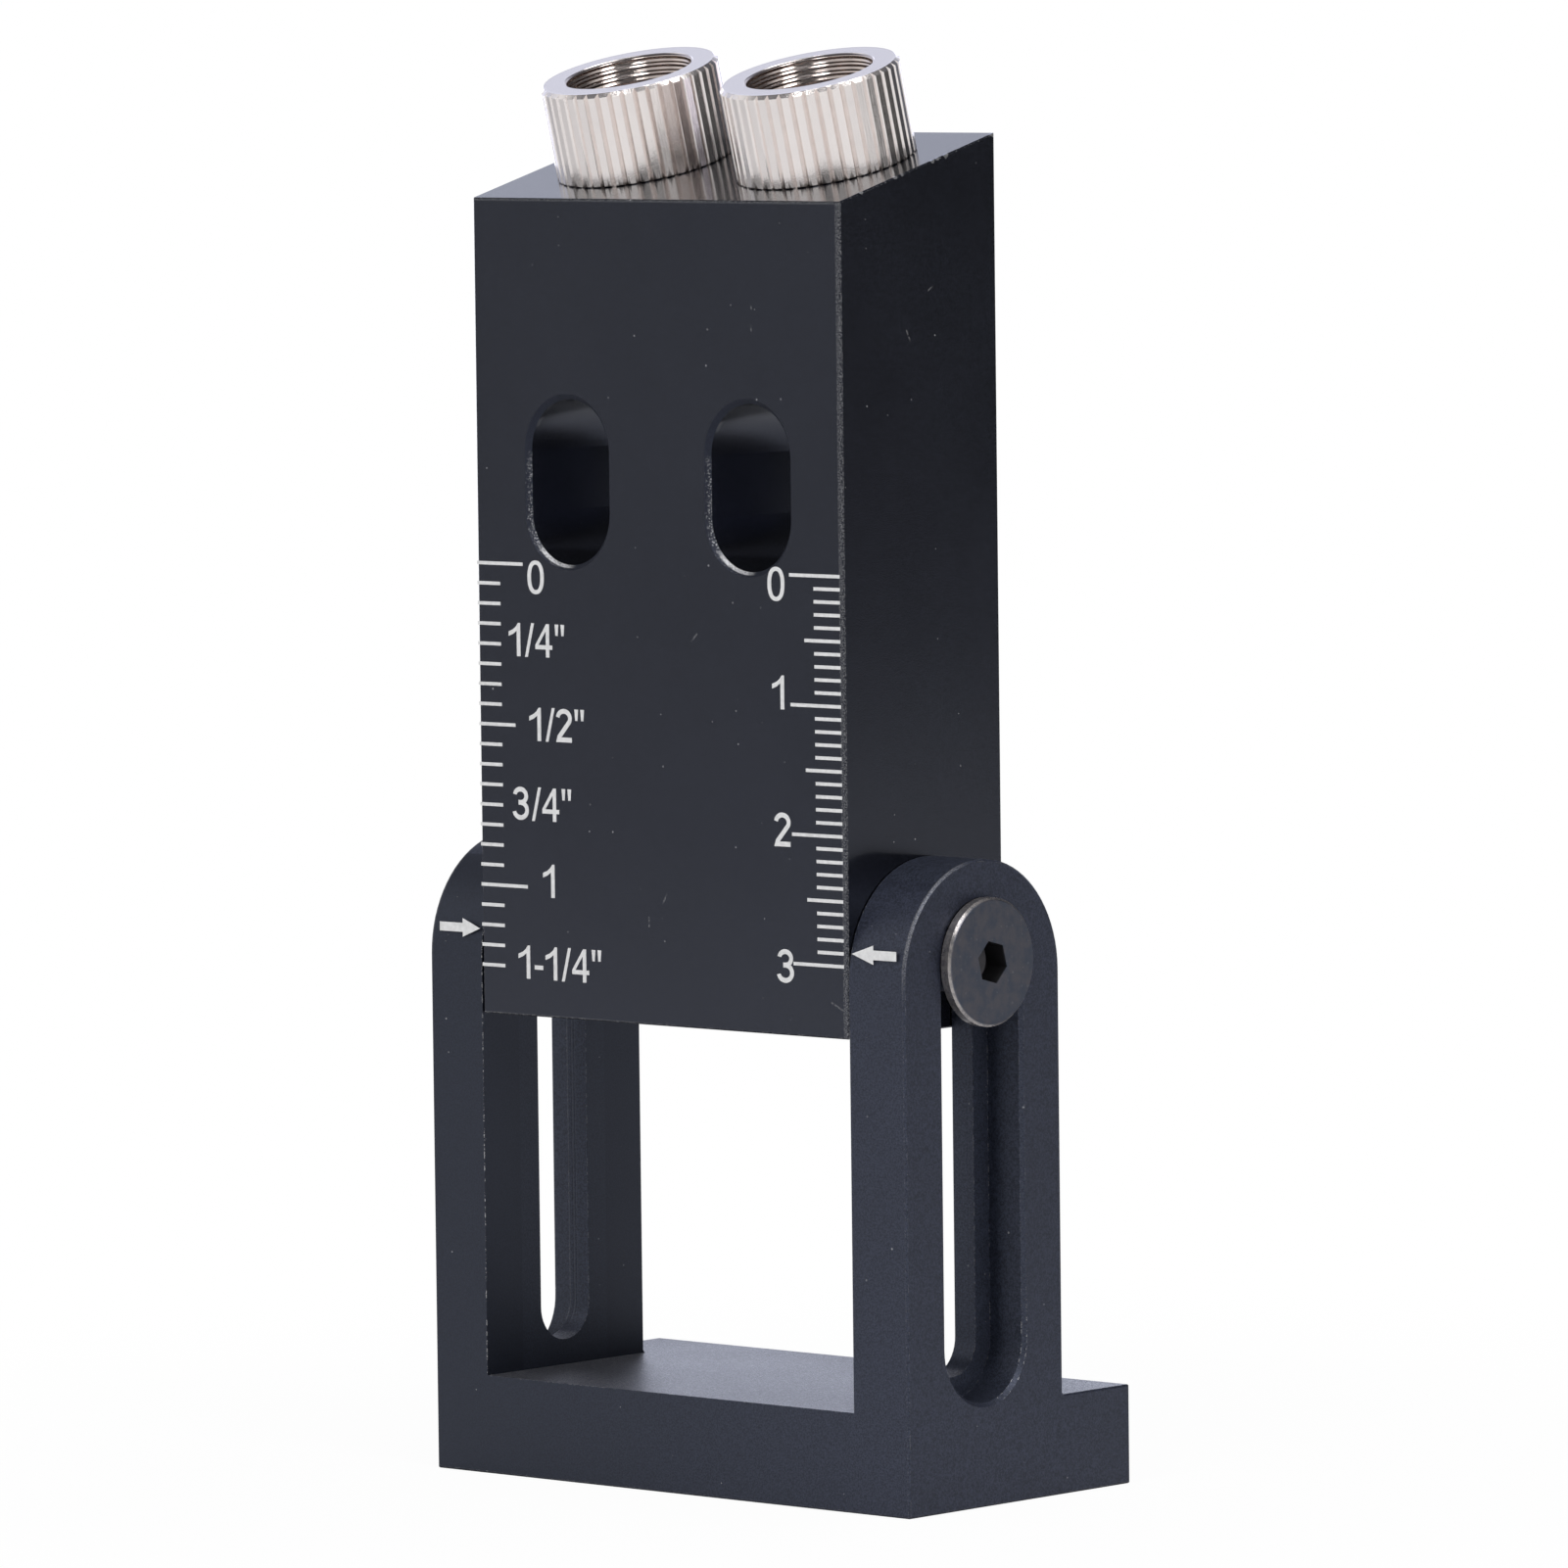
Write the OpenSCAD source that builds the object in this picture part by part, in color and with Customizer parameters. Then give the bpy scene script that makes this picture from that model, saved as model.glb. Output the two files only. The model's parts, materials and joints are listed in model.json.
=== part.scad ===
// Pocket hole jig: a guide block with two slanted drill bushings, held by two countersunk
// screws in the slotted arms of a stop frame. Sliding the block in the arms sets the
// distance from the stop, as read on the block's scales at the arms' arrows.
//
// Lengths are millimetres. The origin is the middle of the foot's underside, X runs across
// the jig, +Y points to the work side, where the foot reaches out, and +Z is up.

/* [Guide block] */
// Width of the block between the arms
block_w = 38.6; // [37:0.1:46]
// Depth of the block from its front face to its work face
block_d = 18.2; // [17.8:0.1:22]
// Height of the block along its front face
block_h = 64.3; // [60:0.1:80]
// Lean of the drill bores from upright, and so of the block's top
bore_angle = 15; // [14:0.5:17]
// Broken edge along the block's four upright corners
block_edge = 0.15; // [0.1:0.05:0.5]
// Broken edge round the block's top and underside
rim_edge = 0.1; // [0.05:0.05:0.3]

/* [Chip windows] */
// Width of a chip window
window_w = 8.2; // [6:0.1:9]
// Height of a chip window, end to end
window_h = 13; // [10:0.5:18]
// Height of the windows' middle above the block's underside
window_mid_h = 42.15; // [38:0.05:44]
// Broken edge round a window's mouth
window_edge = 0.4; // [0.2:0.1:0.8]

/* [Drill bushings] */
// Distance between the two bores
bushing_pitch = 19; // [17:0.1:21]
// Distance up the slope from the middle of the top to the bores
bushing_setback = 0.5; // [0:0.1:0.6]
// Diameter of a bushing's knurled head
head_d = 14.2; // [13.6:0.1:15]
// Height of a bushing's knurled head
head_h = 7.5; // [5:0.5:12]
// Diameter of the drill's bore through a bushing
bushing_bore = 10; // [6:0.5:10]
// Diameter of a bushing's shank in the block
shank_d = 12; // [11.4:0.1:12.4]
// Length of a bushing's shank below its head
shank_l = 8; // [5:0.5:8.5]
// Number of grooves in the straight knurl
knurl_count = 44; // [30:1:60]
// Depth of a knurl groove
knurl_depth = 0.3; // [0.15:0.05:0.45]
// Broken edge of a head's upper rim
head_edge = 0.3; // [0.2:0.05:0.6]
// Broken edge under a head and at the foot of its shank
base_edge = 0.1; // [0.05:0.05:0.4]
// Broken edge at the bore's mouths
mouth_edge = 0.15; // [0.1:0.05:0.5]
// Room between a bushing's shank and its seat, on the radius
seat_clear = 0.03; // [0.02:0.01:0.05]
// Diameter of the drill's bore in the block, below the bushing's seat
drill_bore_d = 10.4; // [10.4:0.1:11]

/* [Clamp screws] */
// Diameter of a screw's shank
screw_d = 5; // [4:0.5:5]
// Length of a screw over all
screw_l = 12; // [10:1:13]
// Diameter of a screw's head
screw_head_d = 10; // [9.8:0.1:11]
// Height of the straight rim round a screw's head
screw_rim = 0.9; // [0.4:0.05:1.2]
// Width across the flats of the hexagon socket
socket_w = 3; // [2.5:0.5:4]
// Depth of the hexagon socket
socket_h = 2; // [1.5:0.1:2.4]
// Height of the screws above the block's underside
screw_up = 5.65; // [5:0.05:6.5]
// Turn of the sockets as the screws are set
screw_turn = 15; // [0:1:59]
// Room between a screw's shank and its hole in the block, on the radius
screw_clear = 0.05; // [0.03:0.01:0.08]

/* [Stop frame] */
// Thickness of an arm
arm_t = 5.6; // [5:0.1:8]
// Wall of an arm over the upper end of its slot
arm_wall = 2.9; // [1.5:0.1:6]
// Thickness of the bar and the foot below the arms
bar_t = 7.8; // [6:0.1:10]
// Reach of the foot beyond the arms, under the work
foot_l = 8; // [5:0.5:14]
// Room between an arm and the block
side_clear = 0.1; // [0.05:0.05:0.15]
// Width of the screw head's track in an arm
track_w = 9.1; // [8.6:0.1:9.3]
// Depth of the screw head's track
track_h = 3.5; // [3:0.1:4]
// Width of the slot through an arm
slot_w = 5.6; // [5.4:0.1:6.4]
// Broken edge along a track's mouth
track_edge = 0.3; // [0.05:0.05:0.4]
// Broken edge of the frame's outer corners
frame_edge = 0.15; // [0.1:0.05:0.5]
// Fillet between the back of an arm and the foot
foot_fillet = 0.3; // [0.2:0.1:2]

/* [Setting] */
// Gap between the block and the bar as set in the photograph
set_gap = 28.85; // [0:0.05:28.85]
// Largest gap that the arms' slots allow
top_gap = 29; // [28.9:0.1:30.4]
// Length of slot left below the screws when the block is right down
slot_spare = 0.85; // [0.3:0.05:1]

/* [Hidden] */

$fn = 96;
overrun = 0.5;
hex_sides = 6;

// Share of a knurl tooth's pitch that its land takes
land_share = 0.6;
// Half angle of the point that a drill leaves in a blind hole
drill_point = 59;
// Half angle of a countersunk head
head_slope = 45;
// Length of the screw's hole beyond the screw's tip
hole_spare = 1.2;
// Room between a screw head's slope and the mouth of its track
head_clear = 0.05;
// Depth of the bushing's seat beyond the shank's end
seat_spare = 0.2;

// Depth
y_front = -(block_d + foot_l) / 2;
y_mid = y_front + block_d / 2;
y_back = y_front + block_d;
y_foot = y_back + foot_l;

// Width
frame_w = block_w + 2 * (side_clear + arm_t);
gap_w = block_w + 2 * side_clear;

// Height
block_z = bar_t + set_gap;
slope_rise = block_d * tan(bore_angle);
track_mouth = track_w + 2 * track_edge;
slot_low_z = bar_t + screw_up - slot_spare;
slot_top_z = bar_t + top_gap + screw_up;
arm_h = slot_top_z + track_mouth / 2 + arm_wall;
arm_r = block_d / 2;
arm_mid_z = arm_h - arm_r;

// Bores: a point of their axis on the block's slanted top, measured from its underside
entry_y = y_mid + bushing_setback * cos(bore_angle);
entry_h = block_h + slope_rise / 2 + bushing_setback * sin(bore_angle);
bore_run = (block_d / 2 + drill_bore_d) / sin(bore_angle);
window_depth = entry_y + (entry_h - window_mid_h) * tan(bore_angle) - y_front;

// Screws: how far a head stands out when its slope meets the mouth of its track
head_out = screw_rim + (screw_head_d - track_mouth) / 2 + head_clear;
hole_l = screw_l - head_out - arm_t - side_clear + hole_spare;

// Rod that breaks a straight edge lying along Z
module edge_rod(length, edge) {
    rotate([0, 0, 45])
        cube([edge * sqrt(2), edge * sqrt(2), length], center = true);
}

// Ring that breaks the edge of a disc lying in the XY plane
module edge_ring(radius, edge, from, sweep) {
    rotate([0, 0, from])
        rotate_extrude(angle = sweep)
            translate([radius, 0])
                rotate([0, 0, 45])
                    square(edge * sqrt(2), center = true);
}

// Slot with round ends along Y, sunk from z = 0, with a broken edge at its mouth
module slot_cut(width, length, depth, edge) {
    run = length - width;
    half = width / 2;
    mouth = half + edge + overrun;
    for (end = [-1, 1])
        translate([0, end * run / 2, 0]) {
            translate([0, 0, -depth])
                cylinder(r = half, h = depth + overrun);
            translate([0, 0, -edge])
                cylinder(r1 = half, r2 = mouth, h = edge + overrun);
        }
    rotate([90, 0, 0])
        linear_extrude(height = run, center = true)
            polygon([[-half, -depth], [half, -depth], [half, -edge], [mouth, overrun],
                     [-mouth, overrun], [-half, -edge]]);
}

// Places its children on the slanted top, with Z along the bore at x
module on_top(x) {
    translate([x, entry_y, block_z + entry_h])
        rotate([bore_angle, 0, 0])
            children();
}

// Places its children at the right screw, with Z out of the jig
module at_screw(x) {
    translate([x, y_mid, block_z + screw_up])
        rotate([0, 90, 0])
            children();
}

// Outline of the frame seen from the side, as Y and Z
module frame_side() {
    translate([y_front, 0])
        square([y_foot - y_front, bar_t]);
    translate([y_front, 0])
        square([block_d, arm_mid_z]);
    translate([y_mid, arm_mid_z])
        circle(r = arm_r);
    difference() {
        translate([y_back - overrun, bar_t - overrun])
            square(foot_fillet + overrun);
        translate([y_back + foot_fillet, bar_t + foot_fillet])
            circle(r = foot_fillet);
    }
}

// Slot through the right arm, with the wider track for the screw's head
module arm_slot() {
    slot_mid_z = (slot_low_z + slot_top_z) / 2;
    travel = slot_top_z - slot_low_z;
    translate([frame_w / 2, y_mid, slot_mid_z])
        rotate([90, 0, 90]) {
            slot_cut(track_w, travel + track_w, track_h, track_edge);
            slot_cut(slot_w, travel + slot_w, arm_t + overrun, 0);
        }
}

// Broken edges round the right side of the frame
module side_edges() {
    front_l = arm_mid_z + frame_edge;
    back_low = bar_t + foot_fillet;
    translate([frame_w / 2, y_mid, arm_mid_z])
        rotate([90, 0, 90])
            edge_ring(arm_r, frame_edge, 0, 180);
    translate([frame_w / 2, y_front, arm_mid_z / 2])
        edge_rod(front_l + frame_edge, frame_edge);
    translate([frame_w / 2, y_back, (back_low + arm_mid_z) / 2])
        edge_rod(arm_mid_z - back_low + frame_edge, frame_edge);
    translate([frame_w / 2, y_back + foot_fillet, back_low])
        rotate([90, 0, 90])
            edge_ring(foot_fillet, frame_edge, 180, 90);
    translate([frame_w / 2, (y_back + foot_fillet + y_foot + frame_edge) / 2, bar_t])
        rotate([90, 0, 0])
            edge_rod(foot_l - foot_fillet + frame_edge, frame_edge);
    translate([frame_w / 2, y_foot, bar_t / 2])
        edge_rod(bar_t + 2 * frame_edge, frame_edge);
    translate([frame_w / 2, (y_front + y_foot) / 2, 0])
        rotate([90, 0, 0])
            edge_rod(y_foot - y_front + 2 * frame_edge, frame_edge);
}

module stop_frame() {
    color([0.15, 0.16, 0.19])
        difference() {
            rotate([90, 0, 90])
                linear_extrude(height = frame_w, center = true)
                    frame_side();
            // Space for the block between the arms
            translate([-gap_w / 2, y_front - overrun, bar_t])
                cube([gap_w, y_foot - y_front + 2 * overrun, arm_h]);
            for (side = [0, 1])
                mirror([side, 0, 0]) {
                    arm_slot();
                    side_edges();
                }
            // Front and back edges of the underside, and the foot's upper edge
            for (edge = [[y_front, 0], [y_foot, 0], [y_foot, bar_t]])
                translate([0, edge[0], edge[1]])
                    rotate([0, 90, 0])
                        edge_rod(frame_w + 2 * frame_edge, frame_edge);
        }
}

// Outline of the block seen from the side, as Y and the height above its underside
module block_side() {
    back_h = block_h + slope_rise;
    polygon([[y_front, 0], [y_back, 0], [y_back, back_h], [y_front, block_h]]);
}

// Bushing's seat and the drill's bore below it, with Z along the bore
module bore_cut() {
    seat_r = shank_d / 2 + seat_clear;
    seat_h = shank_l + seat_spare;
    translate([0, 0, -seat_h])
        cylinder(r = seat_r, h = seat_h + overrun);
    translate([0, 0, -bore_run])
        cylinder(d = drill_bore_d, h = bore_run);
}

// Tapped hole for a clamp screw, with Z out of the block's side
module screw_hole() {
    hole_r = screw_d / 2 + screw_clear;
    point_h = hole_r / tan(drill_point);
    translate([0, 0, -hole_l])
        cylinder(r = hole_r, h = hole_l + overrun);
    translate([0, 0, -hole_l - point_h])
        cylinder(r1 = 0, r2 = hole_r, h = point_h);
}

// Broken edges of the block
module block_edges() {
    back_h = block_h + slope_rise;
    slope_l = block_d / cos(bore_angle);
    for (x = [-block_w / 2, block_w / 2]) {
        for (y = [y_front, y_back])
            translate([x, y, block_z + back_h / 2])
                edge_rod(back_h + 2 * block_edge, block_edge);
        translate([x, y_mid, block_z])
            rotate([90, 0, 0])
                edge_rod(block_d + 2 * rim_edge, rim_edge);
        translate([x, y_mid, block_z + block_h + slope_rise / 2])
            rotate([90 + bore_angle, 0, 0])
                edge_rod(slope_l + 2 * rim_edge, rim_edge);
    }
    for (edge = [[y_front, 0], [y_back, 0], [y_front, block_h], [y_back, back_h]])
        translate([0, edge[0], block_z + edge[1]])
            rotate([0, 90, 0])
                edge_rod(block_w + 2 * rim_edge, rim_edge);
}

module guide_block() {
    color([0.13, 0.14, 0.17])
        difference() {
            translate([0, 0, block_z])
                rotate([90, 0, 90])
                    linear_extrude(height = block_w, center = true)
                        block_side();
            for (x = [-bushing_pitch / 2, bushing_pitch / 2]) {
                on_top(x)
                    bore_cut();
                translate([x, y_front, block_z + window_mid_h])
                    rotate([90, 0, 0])
                        slot_cut(window_w, window_h, window_depth, window_edge);
            }
            for (side = [0, 1])
                mirror([side, 0, 0])
                    at_screw(block_w / 2)
                        screw_hole();
            block_edges();
        }
}

// Outline of the straight knurl: a flat land and a V groove for each tooth
function knurl_outline() =
    let (pitch = 360 / knurl_count, land = pitch * land_share, r = head_d / 2)
    [for (i = [0 : knurl_count - 1])
        for (corner = [[r, i * pitch - land / 2], [r, i * pitch + land / 2],
                       [r - knurl_depth, (i + 0.5) * pitch]])
            [corner[0] * cos(corner[1]), corner[0] * sin(corner[1])]];

// Section of the head's blank, from its axis outwards, wider than the knurl
module head_section() {
    r = head_d / 2;
    reach = r + overrun;
    polygon([[0, 0], [r - base_edge, 0], [reach, base_edge + overrun],
             [reach, head_h - head_edge - overrun], [r - head_edge, head_h], [0, head_h]]);
}

// Section of the shank, from the bore outwards
module shank_section() {
    r = shank_d / 2;
    polygon([[0, -shank_l], [r - base_edge, -shank_l], [r, base_edge - shank_l],
             [r, base_edge], [0, base_edge]]);
}

// Drill bushing standing on the block's top, with Z along its bore
module drill_bushing() {
    bore_r = bushing_bore / 2;
    color([0.78, 0.76, 0.73])
        difference() {
            union() {
                intersection() {
                    linear_extrude(height = head_h)
                        polygon(knurl_outline());
                    rotate_extrude()
                        head_section();
                }
                rotate_extrude()
                    shank_section();
            }
            translate([0, 0, -shank_l - overrun])
                cylinder(r = bore_r, h = shank_l + head_h + 2 * overrun);
            translate([0, 0, head_h - mouth_edge])
                cylinder(r1 = bore_r, r2 = bore_r + mouth_edge + overrun,
                         h = mouth_edge + overrun);
            translate([0, 0, -shank_l - overrun])
                cylinder(r1 = bore_r + mouth_edge + overrun, r2 = bore_r,
                         h = mouth_edge + overrun);
        }
}

module drill_bushing_left() {
    on_top(-bushing_pitch / 2)
        drill_bushing();
}

module drill_bushing_right() {
    on_top(bushing_pitch / 2)
        drill_bushing();
}

// Section of a screw, from its axis outwards, with the head's face at z = 0
module screw_section() {
    head_r = screw_head_d / 2;
    shank_r = screw_d / 2;
    slope_h = (head_r - shank_r) / tan(head_slope);
    face_edge = screw_rim / 4;
    tip_edge = screw_d / 10;
    polygon([[0, 0], [head_r - face_edge, 0], [head_r, -face_edge], [head_r, -screw_rim],
             [shank_r, -screw_rim - slope_h], [shank_r, tip_edge - screw_l],
             [shank_r - tip_edge, -screw_l], [0, -screw_l]]);
}

// Countersunk socket screw with Z out of the jig
module clamp_screw() {
    socket_r = socket_w / 2 / cos(180 / hex_sides);
    point_h = socket_w / 2 / tan(drill_point);
    color([0.27, 0.27, 0.28])
        difference() {
            rotate_extrude()
                screw_section();
            rotate([0, 0, screw_turn])
                translate([0, 0, -socket_h])
                    linear_extrude(height = socket_h + overrun)
                        circle(r = socket_r, $fn = hex_sides);
            translate([0, 0, -socket_h - point_h])
                cylinder(r1 = 0, r2 = socket_w / 2, h = point_h);
        }
}

module clamp_screw_right() {
    at_screw(frame_w / 2 + head_out)
        clamp_screw();
}

module clamp_screw_left() {
    mirror([1, 0, 0])
        clamp_screw_right();
}

stop_frame();
guide_block();
drill_bushing_left();
drill_bushing_right();
clamp_screw_left();
clamp_screw_right();
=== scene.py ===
# Pocket hole jig: the finish of every piece, the printed scales and arrows, the light and the camera.
import json
import math

import bmesh
import bpy
from mathutils import Matrix, Vector
from mathutils.geometry import tessellate_polygon


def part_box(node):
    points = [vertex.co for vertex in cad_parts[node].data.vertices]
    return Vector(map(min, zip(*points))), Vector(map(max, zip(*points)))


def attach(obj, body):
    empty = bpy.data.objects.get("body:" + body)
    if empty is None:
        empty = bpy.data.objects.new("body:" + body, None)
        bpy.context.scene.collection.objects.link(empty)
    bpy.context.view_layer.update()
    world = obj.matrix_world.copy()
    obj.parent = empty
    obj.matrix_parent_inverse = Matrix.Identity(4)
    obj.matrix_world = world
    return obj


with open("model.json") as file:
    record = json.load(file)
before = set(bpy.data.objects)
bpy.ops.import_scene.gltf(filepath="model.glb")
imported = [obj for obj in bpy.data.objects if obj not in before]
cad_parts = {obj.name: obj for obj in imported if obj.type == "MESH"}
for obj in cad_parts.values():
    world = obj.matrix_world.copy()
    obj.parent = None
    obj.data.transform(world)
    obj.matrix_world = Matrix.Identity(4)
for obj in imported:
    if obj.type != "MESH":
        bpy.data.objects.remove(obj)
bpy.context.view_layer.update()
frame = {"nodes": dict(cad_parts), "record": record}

MM = 0.001
BLOCK_LOW, BLOCK_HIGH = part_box("guide_block")
FRAME_LOW, FRAME_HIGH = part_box("stop_frame")
BORES = {m["name"]: m for m in frame["record"]["mounts"] if m["kind"] == "bore"}
SCREW_AXES = {j["name"]: j for j in frame["record"]["behaviour"]["joints"] if j["type"] == "hinge"}
# Grains to a metre in the finest textures, and how softly most masks end
FINE_GRAIN = 9000.0
SOFT = 0.05 * MM
WHITE = (1, 1, 1, 1)


# Camera, fitted to the jig's scales and edges as the photograph shows them
CAMERA_LENS = 271.0
CAMERA_DISTANCE = 928.746 * MM
CAMERA_AZIMUTH = math.radians(41.9907)
CAMERA_ELEVATION = math.radians(4.2954)
CAMERA_ROLL = math.radians(-0.6721)
AIM_RIGHT = 2.8666 * MM
AIM_UP = 54.8144 * MM
AIM_BACK = -4.0 * MM


def make_camera():
    level = math.cos(CAMERA_ELEVATION)
    back = Vector((math.sin(CAMERA_AZIMUTH) * level, -math.cos(CAMERA_AZIMUTH) * level,
                   math.sin(CAMERA_ELEVATION)))
    right = Vector((math.cos(CAMERA_AZIMUTH), math.sin(CAMERA_AZIMUTH), 0))
    up = back.cross(right)
    turn_cos, turn_sin = math.cos(CAMERA_ROLL), math.sin(CAMERA_ROLL)
    side = right * turn_cos + up * turn_sin
    top = up * turn_cos - right * turn_sin
    place = side * AIM_RIGHT + top * AIM_UP + back * CAMERA_DISTANCE + Vector((0, AIM_BACK, 0))
    data = bpy.data.cameras.new("camera")
    data.sensor_width = 36
    data.lens = CAMERA_LENS
    data.clip_start = 0.01
    camera = bpy.data.objects.new("camera", data)
    camera.matrix_world = Matrix.Translation(place) @ Matrix((side, top, back)).transposed().to_4x4()
    bpy.context.scene.collection.objects.link(camera)
    bpy.context.scene.camera = camera


# Short ways to write shader nodes: a value is a number, a colour or another node's output
def feed(tree, socket, value):
    if isinstance(value, bpy.types.NodeSocket):
        tree.links.new(value, socket)
    else:
        socket.default_value = value


def calc(tree, operation, *values, clamp=False):
    node = tree.nodes.new("ShaderNodeMath")
    node.operation = operation
    node.use_clamp = clamp
    for socket, value in zip(node.inputs, values):
        feed(tree, socket, value)
    return node.outputs[0]


def vector_calc(tree, operation, *values, result="Vector"):
    node = tree.nodes.new("ShaderNodeVectorMath")
    node.operation = operation
    for socket, value in zip(node.inputs, values):
        feed(tree, socket, value)
    return node.outputs[result]


def scaled(tree, vector, amount):
    node = vector_calc(tree, "SCALE", vector).node
    feed(tree, node.inputs["Scale"], amount)
    return node.outputs["Vector"]


def split(tree, vector):
    node = tree.nodes.new("ShaderNodeSeparateXYZ")
    feed(tree, node.inputs[0], vector)
    return node.outputs


def join(tree, x, y, z):
    node = tree.nodes.new("ShaderNodeCombineXYZ")
    for socket, value in zip(node.inputs, (x, y, z)):
        feed(tree, socket, value)
    return node.outputs[0]


def ramp(tree, value, low, high, to_low=0.0, to_high=1.0):
    node = tree.nodes.new("ShaderNodeMapRange")
    node.interpolation_type = "SMOOTHSTEP"
    for name, given in (("Value", value), ("From Min", low), ("From Max", high),
                        ("To Min", to_low), ("To Max", to_high)):
        feed(tree, node.inputs[name], given)
    return node.outputs["Result"]


# Mask that is 1 where a value lies between two limits, with soft ends
def between(tree, value, low, high, soft=SOFT):
    rise = ramp(tree, value, low - soft, low)
    fall = ramp(tree, value, high + soft, high)
    return calc(tree, "MULTIPLY", rise, fall)


def most(tree, *masks):
    found = masks[0]
    for mask in masks[1:]:
        found = calc(tree, "MAXIMUM", found, mask)
    return found


def all_of(tree, *masks):
    found = masks[0]
    for mask in masks[1:]:
        found = calc(tree, "MULTIPLY", found, mask)
    return found


def opposite(tree, mask):
    return calc(tree, "SUBTRACT", 1.0, mask)


def noise(tree, vector, scale, detail=2.0, roughness=0.5):
    node = tree.nodes.new("ShaderNodeTexNoise")
    feed(tree, node.inputs["Vector"], vector)
    feed(tree, node.inputs["Scale"], scale)
    node.inputs["Detail"].default_value = detail
    node.inputs["Roughness"].default_value = roughness
    return node.outputs["Fac"]


def blend(tree, amount, first, second):
    node = tree.nodes.new("ShaderNodeMix")
    node.data_type = "RGBA"
    feed(tree, node.inputs["Factor"], amount)
    feed(tree, node.inputs["A"], first)
    feed(tree, node.inputs["B"], second)
    return node.outputs["Result"]


def blend_value(tree, amount, first, second):
    return calc(tree, "MULTIPLY_ADD", amount, calc(tree, "SUBTRACT", second, first), first)


def bump(tree, height, strength, distance):
    node = tree.nodes.new("ShaderNodeBump")
    node.inputs["Strength"].default_value = strength
    node.inputs["Distance"].default_value = distance
    feed(tree, node.inputs["Height"], height)
    return node.outputs["Normal"]


def place_of(tree):
    return tree.nodes.new("ShaderNodeTexCoord").outputs["Object"]


def facing_of(tree):
    return tree.nodes.new("ShaderNodeTexCoord").outputs["Normal"]


SOCKET_KINDS = {"value": "NodeSocketFloat", "vector": "NodeSocketVector", "colour": "NodeSocketColor"}


def new_group(name, inputs, outputs):
    tree = bpy.data.node_groups.new(name, "ShaderNodeTree")
    for side, sockets in (("INPUT", inputs), ("OUTPUT", outputs)):
        for socket, kind in sockets.items():
            tree.interface.new_socket(name=socket, in_out=side, socket_type=SOCKET_KINDS[kind])
    return tree, tree.nodes.new("NodeGroupInput").outputs, tree.nodes.new("NodeGroupOutput").inputs


def use_group(tree, group, **values):
    node = tree.nodes.new("ShaderNodeGroup")
    node.node_tree = group
    for name, value in values.items():
        feed(tree, node.inputs[name], value)
    return node.outputs


# Place on a face as two lengths along it, so that flat patterns lie on every side alike
def face_place_group():
    tree, given, out = new_group("face_place", {"Place": "vector", "Facing": "vector"}, {"Flat": "vector"})
    x, y, z = split(tree, given["Place"])
    turn_x, turn_y, turn_z = split(tree, vector_calc(tree, "ABSOLUTE", given["Facing"]))
    along = calc(tree, "MULTIPLY_ADD", turn_x, calc(tree, "SUBTRACT", y, x), x)
    up = calc(tree, "MULTIPLY_ADD", turn_z, calc(tree, "SUBTRACT", y, z), z)
    feed(tree, out["Flat"], join(tree, along, up, 0.0))
    return tree


# Fine matt texture that bead blasting leaves, as a height, with the clouding of the dye as a tone
def blasted_grain_group():
    tree, given, out = new_group("blasted_grain", {"Place": "vector", "Grain": "value", "Cloud": "value"},
                                 {"Height": "value", "Tone": "value"})
    fine = noise(tree, given["Place"], given["Grain"], detail=1.0)
    coarse = noise(tree, given["Place"], calc(tree, "MULTIPLY", given["Grain"], 0.3), detail=2.0)
    feed(tree, out["Height"], calc(tree, "MULTIPLY_ADD", fine, 0.6, calc(tree, "MULTIPLY", coarse, 0.4)))
    feed(tree, out["Tone"], noise(tree, given["Place"], given["Cloud"], detail=4.0, roughness=0.6))
    return tree


# Sparse round specks of dust or bare metal: a mask that is 1 on a speck
def specks_group():
    tree, given, out = new_group("specks", {"Flat": "vector", "Spacing": "value", "Size": "value",
                                            "Share": "value"}, {"Mask": "value"})
    cells = tree.nodes.new("ShaderNodeTexVoronoi")
    cells.voronoi_dimensions = "2D"
    feed(tree, cells.inputs["Vector"], given["Flat"])
    feed(tree, cells.inputs["Scale"], calc(tree, "DIVIDE", 1.0, given["Spacing"]))
    draw = split(tree, cells.outputs["Color"])
    picked = calc(tree, "LESS_THAN", draw[0], given["Share"])
    reach = calc(tree, "DIVIDE", given["Size"], given["Spacing"])
    radius = calc(tree, "MULTIPLY", reach, calc(tree, "MULTIPLY_ADD", draw[1], 0.8, 0.2))
    inside = ramp(tree, cells.outputs["Distance"], radius, calc(tree, "MULTIPLY", radius, 0.5))
    feed(tree, out["Mask"], calc(tree, "MULTIPLY", calc(tree, "MULTIPLY", picked, inside), draw[2]))
    return tree


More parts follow.
